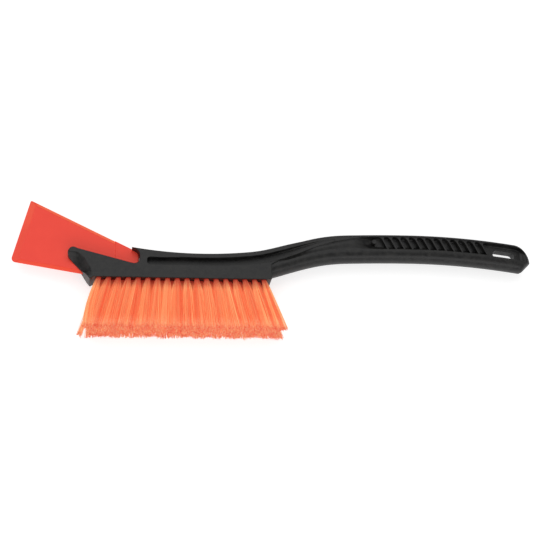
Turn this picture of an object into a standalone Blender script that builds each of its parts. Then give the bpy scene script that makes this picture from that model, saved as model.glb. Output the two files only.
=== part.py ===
"""Snow brush with an ice scraper, lying on its side.

One moulded handle carries the brush block, an S-shaped neck and a ribbed grip with a hanging slot.
A wedge-shaped scraper blade is pushed into a fork at the front of the block. Three rows of bristle
tufts stand in blind holes in the block's underside.

Frame: +X from the scraper to the hanging slot, +Y from the bristle tips to the brush's back, and
+Z up from the surface that the brush lies on. The whole brush is the same on both sides of its
middle plane. While it is modelled that plane is z = 0 and the block's underside is y = 0; at the
end everything moves so that the origin is the bottom centre of the bounding box.
"""

import math

import bmesh
import bpy
from mathutils import Matrix, Vector

# Brush block
BLOCK_WIDTH = 0.025
BLOCK_FRONT = -0.1900
BLOCK_END = 0.002
BLOCK_SHELF = 0.0144
EDGE_ROUND = 0.0012

# Back of the handle: a hollow arc over the block and a crowned arc over the grip, blended in the neck
HEAD_BACK_LOW = (-0.073, 0.0282)
HEAD_BACK_RADIUS = 0.450
GRIP_BACK_TOP = (0.160, 0.0567)
GRIP_FRONT_RADIUS = 1.500
GRIP_REAR_RADIUS = 0.800
NECK_START = -0.020
NECK_END = 0.100

# Neck and grip
BAR_HEIGHT = 0.0295
BAR_WIDTH = 0.022
BAR_BELLY = 0.0100
BAR_CORNER = 0.0028
BAR_START = -0.030
RIDGE_END = 0.066
RIDGE_SINK = 0.0006
HANDLE_END = 0.2965
END_ROUND = 0.0175
END_DROP = 0.0035
END_RISE_RUN = 0.0135
STATION_STEP = 0.009

# Groove along both sides of the head, and the recess along both sides of the grip
WEB = 0.010
FLANGE = 0.0040
GROOVE_START = -0.131
GROOVE_END = 0.074
RECESS_START = 0.010
RECESS_DEPTH = 0.0060
RECESS_STEP = 0.0018
RECESS_LIP = 0.0185
RECESS_RIM = 0.0030
RECESS_CLOSES = 0.0045
END_TAPER = 0.65

# Grip ribs
RIB_COUNT = 13
RIB_FIRST = 0.1297
RIB_PITCH = 0.00945
RIB_THICKNESS = 0.0021
RIB_LEAN = math.radians(24)
RIB_SET_BACK = 0.0006
PIP_RADIUS = 0.0026
PIP_AHEAD = 0.0118
PIP_HEIGHT = 0.0016

# Hanging slot
SLOT_FROM_END = 0.0295
SLOT_LENGTH = 0.0250
SLOT_HEIGHT = 0.0100
SLOT_ABOVE_LIP = 0.0008

# Scraper blade, whose axis runs down towards the block
BLADE_WIDTH = 0.0735
BLADE_EDGE_CENTRE = (-0.2642, 0.0555)
BLADE_EDGE_TILT = math.radians(-14.4)
BLADE_TILT = math.radians(-18.4)
BLADE_TAPER = math.radians(8.6)
BLADE_THICKNESS = 0.0040
BLADE_EDGE_THICKNESS = 0.0012
BLADE_CHAMFER = 0.0036
BLADE_BEVEL = 0.0080
BLADE_LEAST_CORNER = 0.0004
BLADE_TIP_CORNER = 0.0015
BLADE_HEEL_CORNER = 0.0045
TANG_END = -0.1393
TANG_FLOOR = 0.0148
TANG_SHOULDER = -0.1850
TANG_TOP_ROUND = 0.0080
TANG_LOW_ROUND = 0.0060
BOSS_START = -0.1648
BOSS_THICKNESS = 0.0058
NOTCH_LIP = (-0.1470, 0.0300)
CHEEK_START = (-0.2100, 0.0334)
CHEEK_TILT = math.radians(-15.2)
FIT = 0.0003

# Bristle tufts
TUFTS_PER_ROW = (18, 17, 18)
ROW_NAMES = ("lower", "middle", "upper")
BLOCK_SIDE_WALL = 0.0019
TUFT_PITCH = 0.0103
TUFT_CENTRE = -0.0937
TUFT_TRIM = 0.0570
TUFT_ROOT_RADIUS = 0.0027
TUFT_TIP_GAP = 0.0010
TUFT_SIDES = 10
HOLE_DEPTH = 0.0115
HOLE_SIDES = 12
FAN_ALONG = math.radians(16)
FAN_ACROSS = math.radians(6)

# Sizes that follow from the ones above
FAN_STEP = FAN_ALONG / ((max(TUFTS_PER_ROW) - 1) / 2)
TUFT_TIP_RADIUS = (TUFT_PITCH + TUFT_TRIM * FAN_STEP - TUFT_TIP_GAP) / 2
HOLE_RADIUS = (TUFT_ROOT_RADIUS + FIT) / math.cos(math.pi / HOLE_SIDES)
ROW_SPACING = BLOCK_WIDTH / 2 - HOLE_RADIUS - BLOCK_SIDE_WALL

MERGE = 0.00002
CLEAR = 0.004


def clear_scene():
    for obj in list(bpy.data.objects):
        bpy.data.objects.remove(obj)


def plastic(name, colour, roughness):
    """A moulded plastic of one colour."""
    made = bpy.data.materials.new(name)
    made.use_nodes = True
    shader = made.node_tree.nodes["Principled BSDF"]
    shader.inputs["Base Color"].default_value = (*colour, 1)
    shader.inputs["Roughness"].default_value = roughness
    shader.inputs["Metallic"].default_value = 0
    return made


def add_object(name, bm, material=None, cutter=False):
    """Turns a bmesh into a named object. A cutter is a helper that only Booleans use."""
    bmesh.ops.remove_doubles(bm, verts=bm.verts, dist=MERGE)
    bmesh.ops.recalc_face_normals(bm, faces=bm.faces)
    mesh = bpy.data.meshes.new(name)
    bm.to_mesh(mesh)
    bm.free()
    obj = bpy.data.objects.new(name, mesh)
    bpy.context.scene.collection.objects.link(obj)
    if material:
        mesh.materials.append(material)
        mesh.shade_smooth()
        mesh.set_sharp_from_angle(angle=math.radians(35))
    if cutter:
        obj.hide_render = True
        obj.display_type = "WIRE"
    return obj


def combine(obj, other, operation):
    """Adds an exact Boolean of other to obj."""
    step = obj.modifiers.new(f"{operation.lower()} {other.name}", "BOOLEAN")
    step.operation = operation
    step.solver = "EXACT"
    step.object = other


def smooth_step(x, start, end):
    """0 before start, 1 after end, and an S-curve between them."""
    t = min(1.0, max(0.0, (x - start) / (end - start)))
    return t * t * (3 - 2 * t)


def back_line(x):
    """Height of the handle's back at x."""
    over_head = HEAD_BACK_LOW[1] + (x - HEAD_BACK_LOW[0]) ** 2 / (2 * HEAD_BACK_RADIUS)
    grip_radius = GRIP_FRONT_RADIUS if x < GRIP_BACK_TOP[0] else GRIP_REAR_RADIUS
    over_grip = GRIP_BACK_TOP[1] - (x - GRIP_BACK_TOP[0]) ** 2 / (2 * grip_radius)
    share = smooth_step(x, NECK_START, NECK_END)
    return over_head + (over_grip - over_head) * share


def back_slope(x):
    step = 0.001
    return math.atan2(back_line(x + step) - back_line(x - step), 2 * step)


def end_share(x):
    """How much of the grip's height and width is left at x, as its end rounds off."""
    run = max(0.0, x - (HANDLE_END - END_ROUND)) / END_ROUND
    return math.sqrt(max(0.0, 1 - run * run))


def end_rise(x):
    """How far the belly has risen at x, on its straight run up to the grip's tip."""
    run = max(0.0, x - (HANDLE_END - END_RISE_RUN)) / END_RISE_RUN
    return (BAR_HEIGHT / 2 - END_DROP) * run


def half_width(x):
    """Half the width of the neck and grip at x."""
    return BAR_WIDTH / 2 * (1 - END_TAPER + END_TAPER * end_share(x))


def spread(start, end, step):
    """Evenly spaced values from start to end, about a step apart."""
    count = max(1, round((end - start) / step))
    return [start + (end - start) * i / count for i in range(count + 1)]


def rounded_outline(corners):
    """Points of a closed outline from (x, y, corner radius), with each corner turned into an arc."""
    points = []
    for i, (x, y, radius) in enumerate(corners):
        here = Vector((x, y))
        to_last = (Vector(corners[i - 1][:2]) - here).normalized()
        to_next = (Vector(corners[(i + 1) % len(corners)][:2]) - here).normalized()
        if radius <= 0:
            points.append(here)
            continue
        half = to_last.angle(to_next) / 2
        centre = here + (to_last + to_next).normalized() * (radius / math.sin(half))
        first = here + to_last * (radius / math.tan(half)) - centre
        last = here + to_next * (radius / math.tan(half)) - centre
        sweep = first.angle_signed(last)
        steps = max(2, math.ceil(abs(sweep) / math.radians(18) - 0.23))
        for k in range(steps + 1):
            turned = first.copy()
            turned.rotate(Matrix.Rotation(-sweep * k / steps, 2))
            points.append(centre + turned)
    return points


def prism(outline, low, high):
    """A bmesh of a flat outline in x and y, from z = low to z = high."""
    bm = bmesh.new()
    face = bm.faces.new([bm.verts.new((x, y, low)) for x, y in outline])
    made = bmesh.ops.extrude_face_region(bm, geom=[face])
    moved = [v for v in made["geom"] if isinstance(v, bmesh.types.BMVert)]
    bmesh.ops.translate(bm, verts=moved, vec=(0, 0, high - low))
    bmesh.ops.recalc_face_normals(bm, faces=bm.faces)
    return bm


def loft(sections):
    """A bmesh skinned over rings of points of equal count, closed at both ends."""
    bm = bmesh.new()
    rings = [[bm.verts.new(point) for point in ring] for ring in sections]
    for ring, following in zip(rings, rings[1:]):
        for k in range(len(ring)):
            nxt = (k + 1) % len(ring)
            bm.faces.new((ring[k], ring[nxt], following[nxt], following[k]))
    bm.faces.new(rings[0])
    bm.faces.new(rings[-1])
    bmesh.ops.recalc_face_normals(bm, faces=bm.faces)
    return bm


def mirrored(bm):
    """The same bmesh with a copy on the other side of the middle plane."""
    twin = bm.copy()
    bmesh.ops.scale(twin, vec=(1, 1, -1), verts=twin.verts)
    bmesh.ops.reverse_faces(twin, faces=twin.faces)
    return joined([bm, twin])


def joined(parts):
    """One bmesh that holds all of these, which are freed."""
    whole = bmesh.new()
    for part in parts:
        mesh = bpy.data.meshes.new("part")
        part.to_mesh(mesh)
        part.free()
        whole.from_mesh(mesh)
        bpy.data.meshes.remove(mesh)
    return whole


# The scraper blade


def blade_corner(side):
    """Upper (side 1) or lower (side -1) end of the scraping edge."""
    point = Vector((0, side * BLADE_WIDTH / 2))
    point.rotate(Matrix.Rotation(BLADE_EDGE_TILT, 2))
    return point + Vector(BLADE_EDGE_CENTRE)


def blade_side(x, side):
    """Height of the blade's upper (side 1) or lower (side -1) long edge at x."""
    start = blade_corner(side)
    return start.y + (x - start.x) * math.tan(BLADE_TILT - side * BLADE_TAPER)


def blade_corners(grow):
    """The blade's outline as (x, y, radius) corners, its tang grown by a clearance."""
    heel = blade_corner(-1)
    tip = blade_corner(1)
    end = TANG_END + grow
    shoulder = TANG_SHOULDER + grow
    return [
        (heel.x, heel.y, BLADE_HEEL_CORNER),
        (shoulder, blade_side(shoulder, -1) - grow, BLADE_LEAST_CORNER),
        (shoulder, TANG_FLOOR - grow, BLADE_LEAST_CORNER),
        (end, TANG_FLOOR - grow, TANG_LOW_ROUND + grow),
        (end, blade_side(end, 1) + grow, TANG_TOP_ROUND + grow),
        (tip.x, tip.y, BLADE_TIP_CORNER),
    ]


def clipped(bm, x):
    """Keeps the part of a bmesh beyond x and closes the cut."""
    whole = bm.verts[:] + bm.edges[:] + bm.faces[:]
    bmesh.ops.bisect_plane(
        bm, geom=whole, plane_co=(x, 0, 0), plane_no=(-1, 0, 0), clear_outer=True
    )
    rim = [e for e in bm.edges if e.is_boundary]
    bmesh.ops.holes_fill(bm, edges=rim, sides=0)
    bmesh.ops.recalc_face_normals(bm, faces=bm.faces)
    return bm


def inset_corners(corners, insets):
    """Corners of the outline whose edges have moved inwards, each by its own inset."""
    result = []
    for i, (x, y, radius) in enumerate(corners):
        here = Vector((x, y))
        along_last = (here - Vector(corners[i - 1][:2])).normalized()
        along_next = (Vector(corners[(i + 1) % len(corners)][:2]) - here).normalized()
        in_last = Vector((-along_last.y, along_last.x)) * insets[i - 1]
        in_next = Vector((-along_next.y, along_next.x)) * insets[i]
        slide = (in_next - in_last).cross(along_next) / along_last.cross(along_next)
        moved = here + in_last + along_last * slide
        result.append((moved.x, moved.y, max(BLADE_LEAST_CORNER, radius - insets[i])))
    return result


def make_blade(material):
    """A flat wedge with all its edges thinned, and a thick boss at the end of its tang."""
    corners = blade_corners(0)
    insets = [BLADE_CHAMFER] * (len(corners) - 1) + [BLADE_BEVEL]
    rings = []
    for z, outline in (
        (-BLADE_THICKNESS / 2, inset_corners(corners, insets)),
        (-BLADE_EDGE_THICKNESS / 2, corners),
        (BLADE_EDGE_THICKNESS / 2, corners),
        (BLADE_THICKNESS / 2, inset_corners(corners, insets)),
    ):
        rings.append([(x, y, z) for x, y in rounded_outline(outline)])
    blade = add_object("scraper_blade", loft(rings), material)
    half = BOSS_THICKNESS / 2
    boss = prism(rounded_outline(corners), -half, half)
    boss = add_object("boss", clipped(boss, BOSS_START), cutter=True)
    combine(blade, boss, "UNION")
    return blade


def make_fork_cutters():
    """The slot between the fork's cheeks, with a wider pocket for the tang's boss."""
    cutters = []
    wide = HANDLE_END
    for name, half, start in (
        ("blade_slot", BLADE_THICKNESS / 2 + FIT, -wide),
        ("boss_pocket", BOSS_THICKNESS / 2 + FIT, BOSS_START - FIT),
    ):
        space = prism(rounded_outline(blade_corners(FIT)), -half, half)
        if start > -wide:
            space = clipped(space, start)
        cutters.append(add_object(name, space, cutter=True))
    return cutters


# The handle


def cheek_line(x):
    """Height of the fork's upper edge, which runs beside the blade's axis."""
    return CHEEK_START[1] + (x - CHEEK_START[0]) * math.tan(CHEEK_TILT)


def head_outline():
    """Side view of the brush block, the fork and the ridge that runs out into the neck."""
    notch = TANG_END + 2 * FIT
    notch_floor = TANG_FLOOR - 2 * FIT
    floor_start = -0.1497
    lip_x, lip_y = NOTCH_LIP
    front = [
        (BLOCK_FRONT, 0, 0),
        (BLOCK_END, 0, 0),
        (BLOCK_END, 0.0175, 0.003),
        (0.0160, 0.0255, 0.008),
        (0.0360, 0.0335, 0),
    ]
    back = [
        (x, back_line(x) - 0.0015 * smooth_step(x, 0.010, 0.060), 0)
        for x in reversed(spread(lip_x + 0.004, RIDGE_END, STATION_STEP))
    ]
    fork = [
        (lip_x, back_line(lip_x), 0),
        (notch, lip_y, 0.0075),
        (notch, notch_floor, TANG_LOW_ROUND),
        (floor_start, max(notch_floor, cheek_line(floor_start)), 0),
        (-0.2035, cheek_line(-0.2035), 0.010),
        (-0.2100, 0.0345, 0.0045),
        (-0.2158, 0.0265, 0.0060),
        (-0.2010, 0.0105, 0),
        (-0.1935, 0.0040, 0.004),
    ]
    return rounded_outline(front + back + fork)


def make_head(material):
    """The block and fork, as wide as the block, narrowing along the ridge in the neck."""
    half = BLOCK_WIDTH / 2
    bm = prism(head_outline(), -half, half)
    long_edges = [
        e
        for e in bm.edges
        if abs(abs(e.verts[0].co.z) - half) < MERGE
        and abs(e.verts[0].co.z - e.verts[1].co.z) < MERGE
    ]
    bmesh.ops.bevel(
        bm, geom=long_edges, offset=EDGE_ROUND, segments=2, profile=0.5, affect="EDGES", material=-1
    )
    for x in spread(BLOCK_END + 0.001, RIDGE_END, STATION_STEP)[:-1]:
        whole = bm.verts[:] + bm.edges[:] + bm.faces[:]
        bmesh.ops.bisect_plane(bm, geom=whole, plane_co=(x, 0, 0), plane_no=(1, 0, 0))
    narrowest = (BAR_WIDTH - 2 * RIDGE_SINK) / BLOCK_WIDTH
    for v in bm.verts:
        v.co.z *= 1 - (1 - narrowest) * smooth_step(v.co.x, BLOCK_END + 0.001, RIDGE_END)
    return add_object("handle", bm, material)


def bar_section(x):
    """Ring of points around the neck or grip at x: flat back, upright sides, round belly."""
    share = end_share(x)
    inside = smooth_step(x, BAR_START, 0.020)
    line = back_line(x) - 0.0012 * (1 - inside)
    top = line - (BAR_HEIGHT / 2 + END_DROP) * (1 - share)
    low = line - BAR_HEIGHT + end_rise(x)
    wide = half_width(x)
    corner = min(BAR_CORNER, (top - low) * 0.2)
    belly = min(BAR_BELLY, (top - low) * 0.4)
    right = []
    for k in range(3):
        turn = math.radians(90 - 45 * k)
        right.append(
            (
                top - corner + corner * math.sin(turn),
                wide - corner + corner * math.cos(turn),
            )
        )
    for k in range(6):
        turn = math.radians(18 * k)
        right.append((low + belly - belly * math.sin(turn), wide * math.cos(turn)))
    left = [(y, -z) for y, z in reversed(right[:-1])]
    return [(x, y, z) for y, z in right + left]


def make_bar():
    """The neck and grip, skinned over their sections."""
    stations = spread(BAR_START, HANDLE_END - END_ROUND, STATION_STEP)
    for angle in (22, 42, 58, 71, 80, 86):
        stations.append(HANDLE_END - END_ROUND * (1 - math.sin(math.radians(angle))))
    return add_object("bar", loft([bar_section(x) for x in stations]), cutter=True)


def groove_shelf(x):
    """Height of the head groove's lower edge, which climbs to meet its ceiling in the neck."""
    climbing = BLOCK_SHELF + (back_line(x) - FLANGE - BLOCK_SHELF) * smooth_step(x, -0.070, 0.105)
    return min(climbing, back_line(x) - FLANGE - 0.0010)


def groove_section(x):
    """One side's cut at x: a flat ceiling, an upright web and a cove down to the shelf."""
    deepen = 0.0032 * (1 - smooth_step(x, GROOVE_START, GROOVE_START + 0.045))
    ceiling = back_line(x) - FLANGE - deepen
    shelf = groove_shelf(x)
    middle = (ceiling + shelf) / 2
    run_in = min(1.0, (x - GROOVE_START) / (0.6 * (ceiling - shelf)) + 0.12)
    share = math.sqrt(max(0.0, 1 - (1 - run_in) ** 2))
    tall = (ceiling - shelf) / 2 * share
    shallow = smooth_step(x, 0.015, GROOVE_END)
    inner = WEB / 2 + (BLOCK_WIDTH / 2 - WEB / 2 - 0.0022) * shallow
    outer = BLOCK_WIDTH / 2 + CLEAR
    return [
        (x, middle + tall, outer),
        (x, middle + tall, inner),
        (x, middle - tall * 0.45, inner),
        (x, middle - tall, inner + (BLOCK_WIDTH / 2 - inner) * 0.6),
        (x, middle - tall, outer),
    ]


def make_groove():
    """The groove along both sides of the head."""
    first = [GROOVE_START + d for d in (0, 0.0007, 0.0020, 0.0040)]
    stations = first + spread(GROOVE_START + 0.008, GROOVE_END, STATION_STEP)
    groove = loft([groove_section(x) for x in stations])
    return add_object("head_groove", mirrored(groove), cutter=True)


def recess_section(x):
    """One side's cut at x: a step down from the rim, a floor and a slope back out to the side."""
    share = end_share(x)
    top = back_line(x) - (BAR_HEIGHT / 2 + END_DROP) * (1 - share)
    rim = RECESS_RIM + 0.0060 * (1 - smooth_step(x, 0.055, 0.115))
    lip = back_line(x) - RECESS_LIP
    ceiling = max(top - rim, lip + 0.0016)
    side = half_width(x)
    arrive = smooth_step(x, RECESS_START - 0.004, RECESS_START + 0.012)
    leave = smooth_step(HANDLE_END - x, RECESS_CLOSES - 0.001, RECESS_CLOSES + 0.0055)
    inner = side - 0.0006 - (RECESS_DEPTH - 0.0006) * arrive * leave
    outer = side + CLEAR
    floor_top = ceiling - min(RECESS_STEP, (ceiling - lip) * 0.3)
    flat = 0.08 + 0.50 * smooth_step(x, 0.090, 0.130) + 0.34 * smooth_step(x, 0.243, 0.254)
    floor_low = floor_top - (floor_top - lip) * flat
    return [
        (x, ceiling, outer),
        (x, ceiling, side - 0.0005),
        (x, floor_top, inner),
        (x, floor_low, inner),
        (x, lip, side + 0.0006),
        (x, lip, outer),
    ]


def rib_line(index, height):
    """x of a rib's middle at a height above the recess's lip."""
    return RIB_FIRST + RIB_PITCH * index - (height - RECESS_LIP / 2) * math.tan(RIB_LEAN)


def make_ribs():
    """Slanting fins that stand in the recess, to be kept when the recess is cut."""
    half = RIB_THICKNESS / 2 / math.cos(RIB_LEAN)
    front = BAR_WIDTH / 2 - RIB_SET_BACK
    fins = []
    for index in range(RIB_COUNT):
        foot = rib_line(index, 0)
        low = back_line(foot) - RECESS_LIP
        corners = []
        for side, height in ((-1, -0.002), (1, -0.002), (1, RECESS_LIP), (-1, RECESS_LIP)):
            corners.append((rib_line(index, height) + side * half, low + height))
        fins.append(prism(corners, 0.001, front))
    pip_x = RIB_FIRST - PIP_AHEAD
    pip = bmesh.new()
    bmesh.ops.create_cone(
        pip,
        cap_ends=True,
        segments=12,
        radius1=PIP_RADIUS,
        radius2=PIP_RADIUS * 0.8,
        depth=BAR_WIDTH / 2,
        matrix=Matrix.Translation(
            (pip_x, back_line(pip_x) - RECESS_LIP * 0.48, BAR_WIDTH / 4 - PIP_HEIGHT)
        ),
    )
    return add_object("grip_ribs", mirrored(joined(fins + [pip])), cutter=True)


def make_recess():
    """The recess along both sides of the grip, less its ribs."""
    last = HANDLE_END - RECESS_CLOSES
    stations = spread(RECESS_START, HANDLE_END - END_ROUND, STATION_STEP)
    stations += spread(HANDLE_END - END_ROUND + 0.003, last, 0.003)
    recess = loft([recess_section(x) for x in stations])
    made = add_object("grip_recess", mirrored(recess), cutter=True)
    combine(made, make_ribs(), "DIFFERENCE")
    return made


def make_hanging_slot():
    """A slot with round ends, square through the grip's web."""
    half, radius = SLOT_LENGTH / 2, SLOT_HEIGHT / 2
    centre = HANDLE_END - SLOT_FROM_END
    steps = 10
    outline = []
    for side, start in ((1, -90), (-1, 90)):
        for k in range(steps + 1):
            turn = math.radians(start + 180 * k / steps)
            outline.append(
                (side * (half - radius) + radius * math.cos(turn), radius * math.sin(turn))
            )
    bm = prism(outline, -BAR_WIDTH, BAR_WIDTH)
    height = back_line(centre) - RECESS_LIP + SLOT_ABOVE_LIP + radius
    bmesh.ops.rotate(
        bm, verts=bm.verts, cent=(0, 0, 0), matrix=Matrix.Rotation(back_slope(centre), 3, "Z")
    )
    bmesh.ops.translate(bm, verts=bm.verts, vec=(centre, height, 0))
    return add_object("hanging_slot", bm, cutter=True)


def make_nose_cutters():
    """Slanting cuts that narrow both cheeks of the fork towards the blade."""
    back_edge, front_edge = 0.0070, -0.0060
    lean = -0.72
    half = BLOCK_WIDTH / 2
    sections = []
    for height, depth in ((-0.004, 0.0), (0.0008, 0.0), (0.0070, 0.0095), (0.050, 0.0095)):
        shift = BLOCK_FRONT + lean * max(0, height) - 0.001
        plan = (
            (shift + back_edge, half + 0.0002),
            (shift + back_edge, half + CLEAR),
            (shift - 0.030, half + CLEAR),
            (shift - 0.030, half + 0.0001 - depth),
            (shift + front_edge, half + 0.0001 - depth),
        )
        sections.append([(x, height, z) for x, z in plan])
    return add_object("nose_cut", mirrored(loft(sections)), cutter=True)


# The bristles


def tuft_frame(row, index):
    """Where a tuft leaves the block's underside, and the direction in which it points."""
    count = TUFTS_PER_ROW[row]
    place = index - (count - 1) / 2
    side = row - 1
    along = FAN_STEP * place
    across = FAN_ACROSS * side
    mouth = Vector((TUFT_CENTRE + place * TUFT_PITCH, 0, side * ROW_SPACING))
    direction = Vector((math.tan(along), -1, math.tan(across))).normalized()
    return mouth, direction


def ring_round(centre, direction, radius, sides):
    """A ring of points about an axis, starting the same way round on every tuft."""
    across = direction.cross(Vector((0, 0, 1))).normalized()
    other = direction.cross(across)
    turns = [2 * math.pi * k / sides for k in range(sides)]
    return [centre + (across * math.cos(t) + other * math.sin(t)) * radius for t in turns]


def make_holes():
    """Blind holes for all the tufts, each along its tuft's direction."""
    holes = []
    for row, count in enumerate(TUFTS_PER_ROW):
        for index in range(count):
            mouth, direction = tuft_frame(row, index)
            ends = (mouth + direction * CLEAR, mouth - direction * HOLE_DEPTH)
            holes.append(loft([ring_round(p, direction, HOLE_RADIUS, HOLE_SIDES) for p in ends]))
    return add_object("tuft_holes", joined(holes), cutter=True)


def make_tuft(row, index, material):
    """A solid tuft: a round root in its hole, flaring to an end that is trimmed flat."""
    mouth, direction = tuft_frame(row, index)
    root = mouth - direction * (HOLE_DEPTH - FIT)
    length = TUFT_TRIM / -direction.y
    sections = [
        ring_round(root, direction, TUFT_ROOT_RADIUS, TUFT_SIDES),
        ring_round(mouth + direction * FIT, direction, TUFT_ROOT_RADIUS, TUFT_SIDES),
        ring_round(
            mouth + direction * length * 0.45,
            direction,
            TUFT_ROOT_RADIUS + (TUFT_TIP_RADIUS - TUFT_ROOT_RADIUS) * 0.55,
            TUFT_SIDES,
        ),
    ]
    end = ring_round(mouth + direction * length, Vector((0, -1, 0)), TUFT_TIP_RADIUS, TUFT_SIDES)
    sections.append(end)
    name = f"tuft_{ROW_NAMES[row]}_{index + 1:02d}"
    return add_object(name, loft(sections), material)


def move_origin(parts, helpers):
    """Puts the frame's origin at the bottom centre of the parts' bounding box."""
    bpy.context.view_layer.update()
    graph = bpy.context.evaluated_depsgraph_get()
    corners = []
    for obj in parts:
        mesh = obj.evaluated_get(graph).to_mesh()
        corners += [obj.matrix_world @ v.co for v in mesh.vertices]
    low = Vector([min(c[k] for c in corners) for k in range(3)])
    high = Vector([max(c[k] for c in corners) for k in range(3)])
    shift = Vector((-(low.x + high.x) / 2, -(low.y + high.y) / 2, -low.z))
    frame = bpy.data.objects.new("brush_frame", None)
    bpy.context.scene.collection.objects.link(frame)
    frame.location = shift
    for obj in parts + helpers:
        obj.parent = frame
    print("moved by", [round(v, 6) for v in shift], "size", [round(v, 5) for v in high - low])


def main():
    clear_scene()
    black = plastic("black_plastic", (0.018, 0.018, 0.019), 0.45)
    red = plastic("red_plastic", (0.85, 0.085, 0.045), 0.35)
    orange = plastic("orange_bristle", (0.95, 0.22, 0.09), 0.5)
    handle = make_head(black)
    bar = make_bar()
    combine(handle, bar, "UNION")
    helpers = [bar]
    cutters = [make_nose_cutters(), make_groove(), make_recess(), make_hanging_slot()]
    for cutter in cutters + make_fork_cutters() + [make_holes()]:
        combine(handle, cutter, "DIFFERENCE")
        helpers.append(cutter)
    helpers.append(bpy.data.objects["grip_ribs"])
    blade = make_blade(red)
    helpers.append(bpy.data.objects["boss"])
    tufts = [
        make_tuft(row, index, orange)
        for row, count in enumerate(TUFTS_PER_ROW)
        for index in range(count)
    ]
    move_origin([handle, blade] + tufts, helpers)


main()
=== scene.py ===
# %% [markdown]
# # A snow brush with an ice scraper
# The brush is one black moulding with a scraper blade pushed into a fork at its front and three rows
# of orange bristle tufts set into its block. It lies on its side. This lesson builds each of those
# pieces as the factory would: the moulding is filled out first and cored afterwards, the blade is
# thinned towards its edges, and every tuft is a bundle of loose filaments held by a wire staple.

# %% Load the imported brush
import math
import random

import bmesh
import bpy
from mathutils import Matrix, Vector


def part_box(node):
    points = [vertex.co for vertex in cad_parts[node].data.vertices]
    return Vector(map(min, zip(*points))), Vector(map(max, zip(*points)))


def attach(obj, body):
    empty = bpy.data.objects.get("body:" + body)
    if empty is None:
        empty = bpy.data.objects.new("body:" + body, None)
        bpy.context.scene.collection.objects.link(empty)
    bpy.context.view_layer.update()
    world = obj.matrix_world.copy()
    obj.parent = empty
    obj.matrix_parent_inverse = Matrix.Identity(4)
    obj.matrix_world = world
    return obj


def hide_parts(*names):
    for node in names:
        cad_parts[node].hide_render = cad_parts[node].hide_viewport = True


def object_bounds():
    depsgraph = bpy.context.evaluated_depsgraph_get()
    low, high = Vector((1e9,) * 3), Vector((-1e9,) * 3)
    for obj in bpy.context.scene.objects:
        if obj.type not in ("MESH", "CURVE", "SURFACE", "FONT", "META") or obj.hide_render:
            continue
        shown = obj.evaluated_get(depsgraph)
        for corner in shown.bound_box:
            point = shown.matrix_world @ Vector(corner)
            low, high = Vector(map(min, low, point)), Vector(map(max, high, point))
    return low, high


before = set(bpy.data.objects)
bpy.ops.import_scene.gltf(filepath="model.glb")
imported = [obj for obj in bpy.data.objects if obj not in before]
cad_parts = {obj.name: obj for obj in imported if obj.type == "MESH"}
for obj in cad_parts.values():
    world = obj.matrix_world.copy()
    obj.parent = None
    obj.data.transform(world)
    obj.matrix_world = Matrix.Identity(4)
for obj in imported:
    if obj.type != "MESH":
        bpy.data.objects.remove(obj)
cad_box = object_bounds()
print("packed brush", cad_box)

# %% [markdown]
# ## Where the brush lies
# All pieces are drawn in the brush's own axes: x runs from the scraper to the hanging slot, y from
# the bristles to the back, and z = 0 is the middle plane, with y = 0 on the block's underside. The
# packed handle says where those axes lie, so every finished piece is moved there once, at the end.

# %% Find the brush's own axes
HANDLE_END = 0.2965
END_ROUND = 0.0175
LAST_STATION = math.radians(86)

handle_low, handle_high = (Vector(corner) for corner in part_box("handle"))
tip_reach = HANDLE_END - END_ROUND * (1 - math.sin(LAST_STATION))
brush_place = Vector((handle_high.x - tip_reach, handle_low.y, (handle_low.z + handle_high.z) / 2))
print("brush axes at", [round(v, 6) for v in brush_place])

# %% [markdown]
# ## Bench tools for the mesh work
# Three small tools do most of the shaping. `slab` draws a flat outline whose corners are rounded by
# a vertex bevel and extrudes it. `skin` bridges one edge loop to the next, like a lofted body in a
# drawing office. `carve` runs exact Booleans and keeps the mesh that they leave. A Boolean is the
# honest tool here, because a mould core also takes its shape out of a solid.

# %% Curves that ease in and out
def smooth_step(x, start, end):
    """0 before start, 1 after end, and an S-curve between them."""
    t = min(1.0, max(0.0, (x - start) / (end - start)))
    return t * t * (3 - 2 * t)


def spread(start, end, step):
    """Evenly spaced values from start to end, about a step apart."""
    count = max(1, round((end - start) / step))
    return [start + (end - start) * i / count for i in range(count + 1)]


# %% A flat outline with rounded corners
ARC_STEP = math.radians(11)
MERGE = 0.00002


def outline_face(corners):
    """A bmesh with one flat face through (x, y, radius) corners, each rounded by a vertex bevel."""
    bm = bmesh.new()
    verts = [bm.verts.new((x, y, 0)) for x, y, radius in corners]
    bm.faces.new(verts)
    for vert, (x, y, radius) in zip(verts, corners):
        if radius <= 0:
            continue
        turn = vert.calc_edge_angle()
        bmesh.ops.bevel(
            bm, geom=[vert], offset=radius * math.tan(turn / 2), offset_type="OFFSET",
            segments=max(2, math.ceil(turn / ARC_STEP)), profile=0.5, affect="VERTICES", material=-1,
        )
    return bm


def slab(corners, low, high):
    """The outline extruded from z = low to z = high."""
    bm = outline_face(corners)
    bmesh.ops.translate(bm, verts=bm.verts, vec=(0, 0, low))
    made = bmesh.ops.extrude_face_region(bm, geom=bm.faces[:])
    moved = [v for v in made["geom"] if isinstance(v, bmesh.types.BMVert)]
    bmesh.ops.translate(bm, verts=moved, vec=(0, 0, high - low))
    bmesh.ops.recalc_face_normals(bm, faces=bm.faces)
    return bm


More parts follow.
